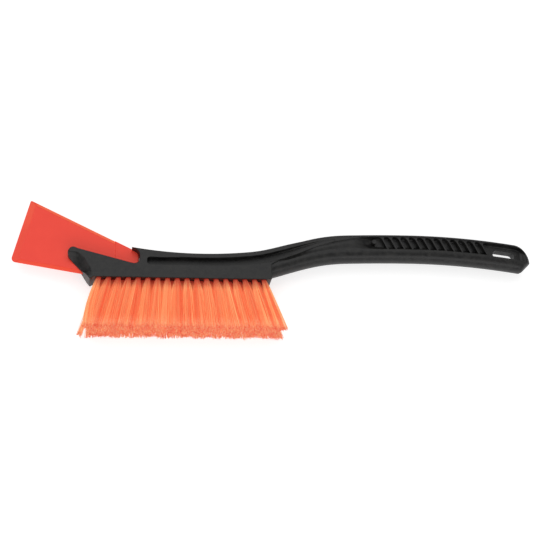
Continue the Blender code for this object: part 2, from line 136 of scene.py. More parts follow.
# %% A skin over a row of rings
def skin(rings):
    """Bridges neighbouring rings of points and closes both ends."""
    bm = bmesh.new()
    loops = []
    for ring in rings:
        verts = [bm.verts.new(point) for point in ring]
        loops.append([bm.edges.new(pair) for pair in zip(verts, verts[1:] + verts[:1])])
    for near, far in zip(loops, loops[1:]):
        bmesh.ops.bridge_loops(bm, edges=near + far)
    for rim in (loops[0], loops[-1]):
        bmesh.ops.holes_fill(bm, edges=rim, sides=0)
    bmesh.ops.recalc_face_normals(bm, faces=bm.faces)
    return bm


def both_sides(bm):
    """Mirrors a bmesh in the middle plane and keeps both halves."""
    bmesh.ops.mirror(bm, geom=bm.verts[:] + bm.edges[:] + bm.faces[:], axis="Z", merge_dist=-1)
    bmesh.ops.recalc_face_normals(bm, faces=bm.faces)
    return bm


# %% Soften the long edges of a slab
def edges_at(bm, height):
    """Edges that lie flat at a distance from the middle plane, on either side of it."""
    return [
        e for e in bm.edges
        if all(abs(abs(v.co.z) - height) < MERGE for v in e.verts)
        and e.verts[0].co.z * e.verts[1].co.z > 0
    ]


def soften(bm, edges, width, segments=3):
    bmesh.ops.bevel(
        bm, geom=edges, offset=width, offset_type="OFFSET", segments=segments, profile=0.5,
        affect="EDGES", material=-1, clamp_overlap=True,
    )
    return bm


# %% Objects and exact Booleans
def add_piece(name, bm):
    """Makes an object of a bmesh."""
    bmesh.ops.remove_doubles(bm, verts=bm.verts, dist=MERGE)
    mesh = bpy.data.meshes.new(name)
    bm.to_mesh(mesh)
    bm.free()
    piece = bpy.data.objects.new(name, mesh)
    bpy.context.scene.collection.objects.link(piece)
    return piece


def settle(piece):
    """Keeps the mesh that a piece's modifiers make and drops the modifiers."""
    bpy.context.view_layer.update()
    graph = bpy.context.evaluated_depsgraph_get()
    made = bpy.data.meshes.new_from_object(piece.evaluated_get(graph))
    piece.modifiers.clear()
    before = piece.data
    piece.data = made
    bpy.data.meshes.remove(before)
    made.name = piece.name


def carve(piece, cutters, operation="DIFFERENCE"):
    """Cuts or joins with exact Booleans and clears the helpers away."""
    for cutter in cutters:
        step = piece.modifiers.new(cutter.name, "BOOLEAN")
        step.operation = operation
        step.solver = "EXACT"
        step.object = cutter
    settle(piece)
    for cutter in cutters:
        bpy.data.objects.remove(cutter)


# %% Shade, place and attach a finished piece
SMOOTH_ANGLE = math.radians(38)


def dress(piece, material, stands_for=()):
    """Smooth shading that trusts the large faces, the brush's place, a finish, a parent on the root
    body and the hiding of the parts that it stands for.
    """
    mesh = piece.data
    mesh.shade_smooth()
    mesh.set_sharp_from_angle(angle=SMOOTH_ANGLE)
    weighted = piece.modifiers.new("large faces lead", "WEIGHTED_NORMAL")
    weighted.keep_sharp = True
    settle(piece)
    mesh = piece.data
    mesh.transform(Matrix.Translation(brush_place))
    mesh.materials.clear()
    mesh.materials.append(material)
    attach(piece, "root")
    if stands_for:
        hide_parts(*stands_for)
    print(piece.name, len(mesh.polygons), "faces")
    return piece


# %% [markdown]
# ## The camera
# The brush is seen almost square from above, from a little towards its bristles and its scraper. The
# camera comes first, because every later choice of detail is judged through it. Its focal length
# follows from how wide a strip of the scene has to fill the frame.

# %% Place the camera
VIEW_TURN = math.radians(9)
VIEW_TILT = math.radians(22)
VIEW_ROLL = math.radians(-1.1)
VIEW_DISTANCE = 1.2
VIEW_WIDTH = 0.58156
VIEW_TARGET = Vector((0, 0.018, 0))
SENSOR_WIDTH = 36

towards = Vector((
    -math.sin(VIEW_TURN) * math.cos(VIEW_TILT),
    -math.sin(VIEW_TILT),
    math.cos(VIEW_TURN) * math.cos(VIEW_TILT),
)).normalized()
level = (Vector((1, 0, 0)) - towards * towards.x).normalized()
upright = towards.cross(level)
right = level * math.cos(VIEW_ROLL) - upright * math.sin(VIEW_ROLL)
up = towards.cross(right)

camera = bpy.data.objects.new("camera", bpy.data.cameras.new("camera"))
bpy.context.scene.collection.objects.link(camera)
facing = Matrix((right, up, towards)).transposed().to_4x4()
camera.matrix_world = Matrix.Translation(brush_place + VIEW_TARGET + towards * VIEW_DISTANCE) @ facing
camera.data.sensor_width = SENSOR_WIDTH
camera.data.lens = SENSOR_WIDTH * VIEW_DISTANCE / VIEW_WIDTH
camera.data.clip_start = 0.01
bpy.context.scene.camera = camera
print("focal length", round(camera.data.lens, 1), "mm")

# %% [markdown]
# ## Shared surface effects
# Two effects occur on more than one plastic, so each is a node group with named sockets. The first is
# the fine texture that a spark-eroded mould leaves, with slow patches where the melt cooled unevenly.
# The second is the faint rubbing that a brush gets on a shelf and in a car. Both put out only values
# that vary over the surface. The shader itself stays in each material.

# %% Start a node group
def new_group(name, inputs, outputs):
    """A shader node group with float or vector sockets, as (name, kind, default) and (name, kind)."""
    tree = bpy.data.node_groups.new(name, "ShaderNodeTree")
    for label, kind, default in inputs:
        socket = tree.interface.new_socket(label, in_out="INPUT", socket_type=kind)
        if default is not None:
            socket.default_value = default
    for label, kind in outputs:
        tree.interface.new_socket(label, in_out="OUTPUT", socket_type=kind)
    return tree, tree.nodes.new("NodeGroupInput"), tree.nodes.new("NodeGroupOutput")


def add_noise(tree, vector, scale, detail=2.0, roughness=0.5):
    node = tree.nodes.new("ShaderNodeTexNoise")
    node.inputs["Scale"].default_value = scale if isinstance(scale, (int, float)) else 1.0
    node.inputs["Detail"].default_value = detail
    node.inputs["Roughness"].default_value = roughness
    tree.links.new(vector, node.inputs["Vector"])
    if not isinstance(scale, (int, float)):
        tree.links.new(scale, node.inputs["Scale"])
    return node.outputs["Fac"]


def add_range(tree, value, low, high, to_low=0.0, to_high=1.0):
    """Rescales a value between two limits."""
    node = tree.nodes.new("ShaderNodeMapRange")
    tree.links.new(value, node.inputs["Value"])
    for label, number in (
        ("From Min", low), ("From Max", high), ("To Min", to_low), ("To Max", to_high)
    ):
        node.inputs[label].default_value = number
    return node.outputs["Result"]


def add_math(tree, operation, first, second):
    node = tree.nodes.new("ShaderNodeMath")
    node.operation = operation
    for socket, value in zip(node.inputs, (first, second)):
        if isinstance(value, (int, float)):
            socket.default_value = value
        else:
            tree.links.new(value, socket)
    return node.outputs["Value"]


def add_mix(tree, share, first, second):
    """A colour between two colours."""
    node = tree.nodes.new("ShaderNodeMix")
    node.data_type = "RGBA"
    tree.links.new(share, node.inputs["Factor"])
    for label, value in (("A", first), ("B", second)):
        socket = next(s for s in node.inputs if s.name == label and s.type == "RGBA")
        if isinstance(value, tuple):
            socket.default_value = (*value, 1)
        else:
            tree.links.new(value, socket)
    return next(s for s in node.outputs if s.type == "RGBA")


# %% The moulded grain group
grain_group, source, result = new_group(
    "moulded_grain",
    [("Vector", "NodeSocketVector", None), ("Grain Scale", "NodeSocketFloat", 2600.0),
     ("Patch Scale", "NodeSocketFloat", 90.0)],
    [("Height", "NodeSocketFloat"), ("Patches", "NodeSocketFloat")],
)
fine = add_noise(grain_group, source.outputs["Vector"], source.outputs["Grain Scale"], 3, 0.6)
pebble = grain_group.nodes.new("ShaderNodeTexVoronoi")
pebble.feature = "SMOOTH_F1"
grain_group.links.new(source.outputs["Vector"], pebble.inputs["Vector"])
grain_group.links.new(source.outputs["Grain Scale"], pebble.inputs["Scale"])
height = add_math(grain_group, "ADD", fine, pebble.outputs["Distance"])
patches = add_noise(grain_group, source.outputs["Vector"], source.outputs["Patch Scale"], 4, 0.6)
grain_group.links.new(height, result.inputs["Height"])
grain_group.links.new(add_range(grain_group, patches, 0.3, 0.7), result.inputs["Patches"])
print("moulded grain group ready")

# %% The rubbing group
rub_group, source, result = new_group(
    "shelf_rubbing",
    [("Vector", "NodeSocketVector", None), ("Amount", "NodeSocketFloat", 0.5)],
    [("Scuff", "NodeSocketFloat"), ("Dust", "NodeSocketFloat")],
)
stretch = rub_group.nodes.new("ShaderNodeMapping")
stretch.inputs["Rotation"].default_value = (0, 0, math.radians(31))
stretch.inputs["Scale"].default_value = (60, 1400, 900)
rub_group.links.new(source.outputs["Vector"], stretch.inputs["Vector"])
scratch = add_range(rub_group, add_noise(rub_group, stretch.outputs["Vector"], 1.0, 2), 0.66, 0.74)
where = add_range(rub_group, add_noise(rub_group, source.outputs["Vector"], 26, 3), 0.5, 0.62)
scuff = add_math(rub_group, "MULTIPLY", scratch, where)
dust = add_range(rub_group, add_noise(rub_group, source.outputs["Vector"], 420, 4, 0.7), 0.6, 0.82)
rub_group.links.new(add_math(rub_group, "MULTIPLY", scuff, source.outputs["Amount"]),
                    result.inputs["Scuff"])
rub_group.links.new(add_math(rub_group, "MULTIPLY", dust, source.outputs["Amount"]),
                    result.inputs["Dust"])
print("shelf rubbing group ready")

# %% Start a material
def new_finish(name):
    """A material, its tree, its shader and the Object coordinates that its patterns follow."""
    material = bpy.data.materials.new(name)
    material.use_nodes = True
    tree = material.node_tree
    shader = tree.nodes["Principled BSDF"]
    coordinates = tree.nodes.new("ShaderNodeTexCoord").outputs["Object"]
    return material, tree, shader, coordinates


def place_group(tree, group, coordinates, **values):
    node = tree.nodes.new("ShaderNodeGroup")
    node.node_tree = group
    tree.links.new(coordinates, node.inputs["Vector"])
    for label, value in values.items():
        node.inputs[label.replace("_", " ")].default_value = value
    return node.outputs


def add_bump(tree, shader, height, strength, distance):
    node = tree.nodes.new("ShaderNodeBump")
    node.inputs["Strength"].default_value = strength
    node.inputs["Distance"].default_value = distance
    tree.links.new(height, node.inputs["Height"])
    tree.links.new(node.outputs["Normal"], shader.inputs["Normal"])


# %% [markdown]
# ## Black handle plastic
# The handle is carbon-black polypropylene with a slight sheen. A plain black would look like a hole,
# because what the eye reads on black plastic is its gloss. So its colour drifts between two shades of
# near-black in slow patches, and the roughness and a very shallow grain do the rest.

# %% Make the black plastic
black_plastic, tree, shader, coordinates = new_finish("black_plastic")
grain = place_group(tree, grain_group, coordinates, Grain_Scale=1500.0, Patch_Scale=170.0)
rubbing = place_group(tree, rub_group, coordinates, Amount=0.6)
tone = add_mix(tree, grain["Patches"], (0.0025, 0.0025, 0.0030), (0.0205, 0.0200, 0.0190))
dusty = add_math(tree, "MAXIMUM", rubbing["Scuff"], add_math(tree, "MULTIPLY", rubbing["Dust"], 0.35))
tree.links.new(add_mix(tree, dusty, tone, (0.060, 0.058, 0.056)), shader.inputs["Base Color"])
sheen_patch = add_range(tree, grain["Patches"], 0, 1, 0.34, 0.48)
tree.links.new(add_math(tree, "ADD", sheen_patch, add_math(tree, "MULTIPLY", dusty, 0.2)),
               shader.inputs["Roughness"])
shader.inputs["Specular IOR Level"].default_value = 0.32
add_bump(tree, shader, grain["Height"], 0.26, 0.00013)
print("black plastic ready")

# %% [markdown]
# ## Orange-red blade plastic
# The blade is a clear polycarbonate blend with red pigment. Its chamfers are painted a lighter orange
# where it is thin. A little of that is real, because less pigment lies in the light's way there. Most
# of it
# is a painted highlight: it is strongest on the upper chamfer, where light from behind the back falls,
# and weak on the lower edge and the scraping bevel. How thin it is follows from the distance to the
# middle plane, and two straight lines tell those edges apart. A faint glow in its own colour is painted
# light too.

# %% Make the red plastic
BLADE_THICKNESS = 0.0040
BLADE_EDGE_THICKNESS = 0.0012
BLADE_EDGE_CENTRE = Vector((-0.2642, 0.0555))
BLADE_EDGE_TILT = math.radians(-14.4)
BLADE_TILT = math.radians(-18.4)

red_plastic, tree, shader, coordinates = new_finish("red_plastic")
grain = place_group(tree, grain_group, coordinates, Grain_Scale=700.0, Patch_Scale=24.0)
rubbing = place_group(tree, rub_group, coordinates, Amount=0.35)
axes = tree.nodes.new("ShaderNodeSeparateXYZ")
tree.links.new(coordinates, axes.inputs["Vector"])
x, y, z = axes.outputs
off_middle = add_math(tree, "ABSOLUTE", add_math(tree, "SUBTRACT", z, brush_place.z), 0)
# The chamfers' lighter orange is mostly a painted highlight. `upper` makes it strongest on the upper
# chamfer, where light from behind the back falls, and `past_bevel` keeps it weak on the scraping bevel.
thin = add_range(tree, off_middle, BLADE_THICKNESS * 0.49, BLADE_THICKNESS * 0.40)
edge_x, edge_y = brush_place.xy + BLADE_EDGE_CENTRE
slope = math.tan(-BLADE_TILT)
over_axis = add_math(tree, "ADD", y, add_math(tree, "MULTIPLY", x, slope))
axis_level = edge_y + slope * edge_x
upper = add_range(tree, over_axis, axis_level, axis_level + 0.012, 0.3, 1.0)
tilt = math.tan(-BLADE_EDGE_TILT)
from_edge = add_math(tree, "SUBTRACT", x, add_math(tree, "MULTIPLY", y, tilt))
edge_level = edge_x - tilt * edge_y
past_bevel = add_range(tree, from_edge, edge_level + 0.0070, edge_level + 0.0095, 0.35, 1.0)
lit = add_math(tree, "MULTIPLY", thin, add_math(tree, "MULTIPLY", upper, past_bevel))
body = add_mix(tree, grain["Patches"], (0.86, 0.056, 0.034), (0.91, 0.068, 0.040))
# The body colour with the painted highlight laid on the chamfers.
blade_with_painted_highlight = add_mix(tree, lit, body, (0.96, 0.145, 0.066))
worn = add_math(tree, "MULTIPLY", rubbing["Scuff"], 0.5)
tone = add_mix(tree, worn, blade_with_painted_highlight, (1.0, 0.32, 0.22))
tree.links.new(tone, shader.inputs["Base Color"])
# Painted light: a faint glow in the blade's own colour brightens it, though it is no lamp.
tree.links.new(tone, shader.inputs["Emission Color"])
shader.inputs["Emission Strength"].default_value = 0.06
tree.links.new(add_range(tree, grain["Patches"], 0, 1, 0.27, 0.36), shader.inputs["Roughness"])
shader.inputs["Specular IOR Level"].default_value = 0.22
add_bump(tree, shader, grain["Height"], 0.10, 0.00010)
print("red plastic ready")

# %% [markdown]
# ## Bristle filament
# The bristles are extruded filaments, coloured right through. They streak, because each strand has
# its own shade. Near the root, where they crowd together under the block, they are painted deep red as
# painted shade. Towards the tips they are paler, partly from fraying and partly from a painted
# highlight where the tips catch the light. At the cut they are painted red again as painted shade on
# the cut ends.
# Two numbers on the mesh carry this: `tint`, one value for a strand, and `along`, from 0 at the hole's
# mouth to 1 at the cut. A faint glow stands for the light that passes through them; it is painted
# light.

# %% Make the bristle finish
def read_number(tree, name):
    node = tree.nodes.new("ShaderNodeAttribute")
    node.attribute_name = name
    return node.outputs["Fac"]


bristle_finish, tree, shader, coordinates = new_finish("orange_bristle")
tint = read_number(tree, "tint")
along = read_number(tree, "along")
strand = add_mix(tree, tint, (0.86, 0.125, 0.048), (1.0, 0.54, 0.235))
# Painted shade: the strands are darker red near the root, where they crowd together under the block.
root_painted_shade = add_mix(tree, add_range(tree, along, 0.0, 0.20), (0.50, 0.045, 0.028), strand)
# Paler towards the tips: partly fraying, partly a painted highlight where the tips catch the light.
fray_and_tip_highlight = add_range(tree, along, 0.74, 0.92, 0.0, 0.55)
speckle = add_range(tree, add_noise(tree, coordinates, 900, 2), 0.42, 0.62)
tip_share = add_math(tree, "MULTIPLY", fray_and_tip_highlight, speckle)
pale = add_mix(tree, tip_share, root_painted_shade, (1.0, 0.60, 0.38))
# Painted shade: the last bit of each strand, its cut end, is darker red, as the end faces lie in
# shadow.
speck = add_range(tree, add_noise(tree, coordinates, 620, 3), 0.42, 0.58, 0.05, 1.0)
cut_end_shade_share = add_math(tree, "MULTIPLY", add_range(tree, along, 0.92, 0.99), speck)
shade = add_mix(tree, cut_end_shade_share, pale, (0.74, 0.078, 0.036))
tree.links.new(shade, shader.inputs["Base Color"])
tree.links.new(shade, shader.inputs["Emission Color"])
shader.inputs["Emission Strength"].default_value = 0.22
tree.links.new(add_range(tree, tint, 0, 1, 0.42, 0.58), shader.inputs["Roughness"])
shader.inputs["Specular IOR Level"].default_value = 0.4
add_bump(tree, shader, add_noise(tree, coordinates, 2400, 1), 0.1, 0.00005)
print("bristle finish ready")

# %% [markdown]
# ## The back of the handle
# One line governs the whole handle: its back. Over the block it is a shallow hollow arc, over the
# grip a long crown, and an S-curve blends the two in the neck. Writing it as a formula lets the
# block, the groove, the ribs and the grip all hang from the same line.

# %% Draw the back line
HEAD_BACK_LOW = (-0.073, 0.0282)
HEAD_BACK_RADIUS = 0.450
GRIP_BACK_TOP = (0.160, 0.0567)
GRIP_FRONT_RADIUS = 1.500
GRIP_REAR_RADIUS = 0.800
NECK_START = -0.020
NECK_END = 0.100


def back_line(x):
    """Height of the handle's back at x."""
    over_head = HEAD_BACK_LOW[1] + (x - HEAD_BACK_LOW[0]) ** 2 / (2 * HEAD_BACK_RADIUS)
    grip_radius = GRIP_FRONT_RADIUS if x < GRIP_BACK_TOP[0] else GRIP_REAR_RADIUS
    over_grip = GRIP_BACK_TOP[1] - (x - GRIP_BACK_TOP[0]) ** 2 / (2 * grip_radius)
    return over_head + (over_grip - over_head) * smooth_step(x, NECK_START, NECK_END)


def back_slope(x):
    step = 0.001
    return math.atan2(back_line(x + step) - back_line(x - step), 2 * step)


print("back is", round(back_line(0) * 1000, 1), "mm high at the block's end")

# %% [markdown]
# ## The scraper blade's outline
# The blade is a wedge that narrows from a 73 mm edge to a round-ended tang. The same outline, grown
# by the fit, is cut out of the fork later, so it is a function of how much it grows.

# %% Draw the blade's outline
BLADE_WIDTH = 0.0735
BLADE_TAPER = math.radians(8.6)
BLADE_TIP_CORNER = 0.0015
BLADE_HEEL_CORNER = 0.0045
BLADE_LEAST_CORNER = 0.0004
TANG_END = -0.1393
TANG_FLOOR = 0.0148
TANG_SHOULDER = -0.1850
TANG_TOP_ROUND = 0.0080
TANG_LOW_ROUND = 0.0060
FIT = 0.0003


def edge_corner(side):
    """Upper (side 1) or lower (side -1) end of the scraping edge."""
    point = Vector((0, side * BLADE_WIDTH / 2))
    point.rotate(Matrix.Rotation(BLADE_EDGE_TILT, 2))
    return point + BLADE_EDGE_CENTRE


def blade_side(x, side):
    """Height of the blade's upper or lower long edge at x."""
    start = edge_corner(side)
    return start.y + (x - start.x) * math.tan(BLADE_TILT - side * BLADE_TAPER)


def blade_corners(grow=0.0):
    heel, tip = edge_corner(-1), edge_corner(1)
    end, shoulder = TANG_END + grow, TANG_SHOULDER + grow
    return [
        (heel.x, heel.y, BLADE_HEEL_CORNER),
        (shoulder, blade_side(shoulder, -1) - grow, BLADE_LEAST_CORNER),
        (shoulder, TANG_FLOOR - grow, BLADE_LEAST_CORNER),
        (end, TANG_FLOOR - grow, TANG_LOW_ROUND + grow),
        (end, blade_side(end, 1) + grow, TANG_TOP_ROUND + grow),
        (tip.x, tip.y, BLADE_TIP_CORNER),
    ]


print("blade corners", len(blade_corners()))

# %% [markdown]
# ## The scraper blade
# The blade could be one bevelled slab, but its scraping bevel is wider than its other chamfers. So
# four rings are bridged instead: the full outline at the thin edge, and the inset outline on both
# faces, each side inset by its own width. A short bevel then rounds the creases, as a mould does.

# %% Inset an outline, each side by its own width
def inset_corners(corners, insets):
    """Corners of the outline after each side has moved inwards by its own inset."""
    result = []
    for i, (x, y, radius) in enumerate(corners):
        here = Vector((x, y))
        along_last = (here - Vector(corners[i - 1][:2])).normalized()
        along_next = (Vector(corners[(i + 1) % len(corners)][:2]) - here).normalized()
        in_last = Vector((-along_last.y, along_last.x)) * insets[i - 1]
        in_next = Vector((-along_next.y, along_next.x)) * insets[i]
        slide = (in_next - in_last).cross(along_next) / along_last.cross(along_next)
        moved = here + in_last + along_last * slide
        result.append((moved.x, moved.y, max(BLADE_LEAST_CORNER, radius - insets[i])))
    return result


def ring_at(corners, z):
    """The rounded outline's points, in order, at a height."""
    bm = outline_face(corners)
    bm.faces.ensure_lookup_table()
    points = [(v.co.x, v.co.y, z) for v in bm.faces[0].verts]
    bm.free()
    return points


# %% Bridge the blade's rings
BLADE_CHAMFER = 0.0036
BLADE_BEVEL = 0.0080
FACE_ROUND = 0.0004
RIM_ROUND = 0.00025

outline = blade_corners()
insets = [BLADE_CHAMFER] * (len(outline) - 1) + [BLADE_BEVEL]
faced = inset_corners(outline, insets)
blade_mesh = skin([
    ring_at(faced, -BLADE_THICKNESS / 2),
    ring_at(outline, -BLADE_EDGE_THICKNESS / 2),
    ring_at(outline, BLADE_EDGE_THICKNESS / 2),
    ring_at(faced, BLADE_THICKNESS / 2),
])
soften(blade_mesh, edges_at(blade_mesh, BLADE_THICKNESS / 2), FACE_ROUND, 2)
soften(blade_mesh, edges_at(blade_mesh, BLADE_EDGE_THICKNESS / 2), RIM_ROUND, 2)
blade = add_piece("scraper_blade_moulding", blade_mesh)
print("blade faces", len(blade.data.polygons))

# %% [markdown]
# The end of the tang is thicker than the blade, so that it jams in its pocket. It is a slab of the
# same outline, cut off square where the boss starts, with its faces' edges rounded over.

# %% Add the boss on the tang
BOSS_START = -0.1648
BOSS_THICKNESS = 0.0058
BOSS_ROUND = 0.0016


def beyond(bm, x):
    """Keeps the part of a slab beyond x and closes the cut."""
    whole = bm.verts[:] + bm.edges[:] + bm.faces[:]
    bmesh.ops.bisect_plane(bm, geom=whole, plane_co=(x, 0, 0), plane_no=(-1, 0, 0), clear_outer=True)
    bmesh.ops.holes_fill(bm, edges=[e for e in bm.edges if e.is_boundary], sides=0)
    bmesh.ops.recalc_face_normals(bm, faces=bm.faces)
    return bm


boss_mesh = beyond(slab(outline, -BOSS_THICKNESS / 2, BOSS_THICKNESS / 2), BOSS_START)
soften(boss_mesh, edges_at(boss_mesh, BOSS_THICKNESS / 2), BOSS_ROUND, 3)
carve(blade, [add_piece("boss", boss_mesh)], "UNION")
dress(blade, red_plastic, ["scraper_blade"])

# %% [markdown]
# ## The brush block and the fork
# The side view of the block, the fork and the ridge that runs out into the neck is one outline. Its
# back follows the back line and ends at a notch behind the tang. The slab's long edges are
# rounded. Then its sides are cut into strips, so that they stay flat while the ridge is narrowed.

# %% Draw the block's side view
BLOCK_WIDTH = 0.025
BLOCK_FRONT = -0.1900
BLOCK_END = 0.002
NOSE_FOOT = 0.0026
BLOCK_SHELF = 0.0144
CHEEK_START = (-0.2100, 0.0334)
CHEEK_TILT = math.radians(-15.2)
RIDGE_END = 0.066
NOTCH_LIP = (-0.1470, 0.0300)
STATION_STEP = 0.004


def cheek_line(x):
    """Height of the fork's upper edge, which runs beside the blade's axis."""
    return CHEEK_START[1] + (x - CHEEK_START[0]) * math.tan(CHEEK_TILT)


def head_corners():
    notch = TANG_END + 2 * FIT
    notch_floor = TANG_FLOOR - 2 * FIT
    floor_start = -0.1497
    lip_x, lip_y = NOTCH_LIP
    under = [
        (BLOCK_FRONT - 0.0008, -NOSE_FOOT, 0.0012),
        (BLOCK_FRONT + 0.0034, 0, 0),
        (BLOCK_END, 0, 0.0012),
        (BLOCK_END, 0.0175, 0.003),
        (0.0160, 0.0255, 0.008),
        (0.0360, 0.0335, 0),
    ]
    back = [
        (x, back_line(x) - 0.0015 * smooth_step(x, 0.010, 0.060), 0)
        for x in reversed(spread(lip_x + STATION_STEP, RIDGE_END, STATION_STEP))
    ]
    fork = [
        (lip_x, back_line(lip_x), 0),
        (notch, lip_y, 0.0075),
        (notch, notch_floor, TANG_LOW_ROUND),
        (floor_start, max(notch_floor, cheek_line(floor_start)), 0),
        (-0.2035, cheek_line(-0.2035), 0.010),
        (-0.2100, 0.0345, 0.0045),
        (-0.2158, 0.0265, 0.0060),
        (-0.2010, 0.0105, 0),
        (-0.1950, 0.0030, 0.004),
    ]
    return under + back + fork


# %% Extrude, round and taper the block
EDGE_ROUND = 0.0012
BAR_WIDTH = 0.022
RIDGE_SINK = 0.0006

head_mesh = slab(head_corners(), -BLOCK_WIDTH / 2, BLOCK_WIDTH / 2)
soften(head_mesh, edges_at(head_mesh, BLOCK_WIDTH / 2), EDGE_ROUND, 4)
for x in spread(BLOCK_END + 0.001, RIDGE_END, STATION_STEP)[:-1]:
    whole = head_mesh.verts[:] + head_mesh.edges[:] + head_mesh.faces[:]
    bmesh.ops.bisect_plane(head_mesh, geom=whole, plane_co=(x, 0, 0), plane_no=(1, 0, 0))
narrowest = (BAR_WIDTH - 2 * RIDGE_SINK) / BLOCK_WIDTH
for v in head_mesh.verts:
    v.co.z *= 1 - (1 - narrowest) * smooth_step(v.co.x, BLOCK_END + 0.001, RIDGE_END)
handle = add_piece("handle_moulding", head_mesh)
print("block faces", len(handle.data.polygons))

# %% [markdown]
# ## The neck and the grip
# Every section of the bar has a flat back with round corners, upright sides and a half-round belly.
# At the end the back falls along a quarter circle and the belly rises straight to meet it. Bridging
# the rings keeps those sections exact.

# %% Bridge the bar's sections
BAR_HEIGHT = 0.0295
BAR_BELLY = 0.0100
BAR_CORNER = 0.0028
BAR_START = -0.030
END_DROP = 0.0035
END_TAPER = 0.65
END_RISE_RUN = 0.0102


def end_share(x):
    """How much of the grip's height is left at x, as its end rounds off."""
    run = max(0.0, x - (HANDLE_END - END_ROUND)) / END_ROUND
    return math.sqrt(max(0.0, 1 - run * run))


def end_rise(x):
    """How far the belly has risen at x, on its straight run up to the grip's tip."""
    run = max(0.0, x - (HANDLE_END - END_RISE_RUN)) / END_RISE_RUN
    return (BAR_HEIGHT / 2 - END_DROP) * run


def half_width(x):
    return BAR_WIDTH / 2 * (1 - END_TAPER + END_TAPER * end_share(x))


def bar_section(x):
    """Ring of points around the neck or grip at x."""
    share = end_share(x)
    line = back_line(x) - 0.0012 * (1 - smooth_step(x, BAR_START, 0.020))
    top = line - (BAR_HEIGHT / 2 + END_DROP) * (1 - share)
    low = line - BAR_HEIGHT + end_rise(x)
    wide = half_width(x)
    corner = min(BAR_CORNER, (top - low) * 0.2)
    belly = min(BAR_BELLY, (top - low) * 0.4)
    side = []
    for k in range(6):
        turn = math.radians(90 - 18 * k)
        side.append((top - corner + corner * math.sin(turn),
                     wide - corner + corner * math.cos(turn)))
    for k in range(11):
        turn = math.radians(9 * k)
        side.append((low + belly - belly * math.sin(turn), wide * math.cos(turn)))
    other = [(y, -z) for y, z in reversed(side[:-1])]
    return [(x, y, z) for y, z in side + other]


bar_stations = spread(BAR_START, HANDLE_END - END_ROUND, STATION_STEP)
bar_stations += [
    HANDLE_END - END_ROUND * (1 - math.sin(math.radians(turn)))
    for turn in (10, 20, 30, 40, 49, 57, 65, 72, 78, 83)
]
bar_stations.append(tip_reach)
carve(handle, [add_piece("bar", skin([bar_section(x) for x in bar_stations]))], "UNION")
print("handle faces", len(handle.data.polygons))

# %% [markdown]
# ## The scooped fork cheeks
# The front of each cheek is hollowed: a crease climbs its side from the block's lower front edge,
# turns forward under the nose, and in front of it the surface falls in a hollow curve to a thin
# lip beside the blade. The cutter is skinned over level sections whose back edge follows the crease.

# %% Scoop the cheeks
SCOOP_RUN = 0.0135
SCOOP_LIP = 0.0030
SCOOP_TOP = 0.0292
SCOOP_BEND = 0.0225
SCOOP_LIFT = 0.0003
CLEAR = 0.004


def scoop_crease(height):
    """x of the crease at a height: a leaning line that turns forward at its top."""
    turn = min(1.0, max(0.0, (height - SCOOP_BEND) / (SCOOP_TOP - SCOOP_BEND)))
    return -0.1843 - 0.58 * height - 0.0095 * (1 - math.sqrt(max(0.0, 1 - turn * turn)))


def scoop_section(height):
    crease = scoop_crease(max(0.0, height))
    half = BLOCK_WIDTH / 2
    depth = (half - SCOOP_LIP) * smooth_step(SCOOP_TOP - height, -0.0004, 0.0125)
    depth = depth * smooth_step(height, -0.0005, 0.0120) - SCOOP_LIFT
    hollow = []
    for k in range(9):
        share = k / 8
        hollow.append((crease - SCOOP_RUN * share, half - depth * math.sin(share * math.pi / 2)))
    far = crease - SCOOP_RUN - 0.030
    plan = [(crease + 0.0012, half + CLEAR)] + [(crease + 0.0003, half + 0.0003)] + hollow
    plan += [(far, half - depth), (far, half + CLEAR)]
    return [(x, height, z) for x, z in plan]


scoop_heights = [-0.004, -0.001] + spread(0.0015, SCOOP_BEND, 0.003)
scoop_heights += [
    SCOOP_BEND + (SCOOP_TOP - SCOOP_BEND) * share for share in (0.3, 0.55, 0.75, 0.9, 1.0)
]
scoops = both_sides(skin([scoop_section(height) for height in scoop_heights]))
scoop_cutter = add_piece("scoops", scoops)

# %% [markdown]
# ## The groove under the back
# A moulder keeps walls even, so the head is cored from both sides until a 10 mm web is left. The core
# has a flat ceiling under the back flange and a hollow cove below. It starts behind the tang and dies
# out in the neck, where it gets shallower and its shelf climbs to its ceiling.

# %% Core the head
WEB = 0.010
FLANGE = 0.0048
GROOVE_START = -0.131
GROOVE_END = 0.074


def groove_shelf(x):
    """Height of the groove's lower edge."""
    room = back_line(x) - FLANGE - BLOCK_SHELF
    climbing = BLOCK_SHELF + room * smooth_step(x, -0.070, 0.105)
    return min(climbing, back_line(x) - FLANGE - 0.0010)


def groove_section(x):
    deepen = 0.0032 * (1 - smooth_step(x, GROOVE_START, GROOVE_START + 0.045))
    ceiling = back_line(x) - FLANGE - deepen
    shelf = groove_shelf(x)
    middle = (ceiling + shelf) / 2
    run_in = min(1.0, (x - GROOVE_START) / (0.6 * (ceiling - shelf)) + 0.12)
    tall = (ceiling - shelf) / 2 * math.sqrt(max(0.0, 1 - (1 - run_in) ** 2))
    inner = WEB / 2 + (BLOCK_WIDTH / 2 - WEB / 2 - 0.0022) * smooth_step(x, 0.015, GROOVE_END)
    surface = BLOCK_WIDTH / 2
    outer = surface + CLEAR
    fillet = min(0.0008, tall * 0.3)
    ring = [
        (middle + tall + 0.0005, outer),
        (middle + tall, surface - 0.0012),
        (middle + tall, inner + fillet),
        (middle + tall - fillet, inner),
    ]
    cove_start = middle - tall * 0.35
    for k in range(9):
        turn = math.radians(11.25 * k)
        ring.append((
            middle - tall + (cove_start - middle + tall) * (1 - math.sin(turn)),
            inner + (surface - 0.0006 - inner) * (1 - math.cos(turn)),
        ))
    ring.append((middle - tall - 0.0006, outer))
    return [(x, y, z) for y, z in ring]


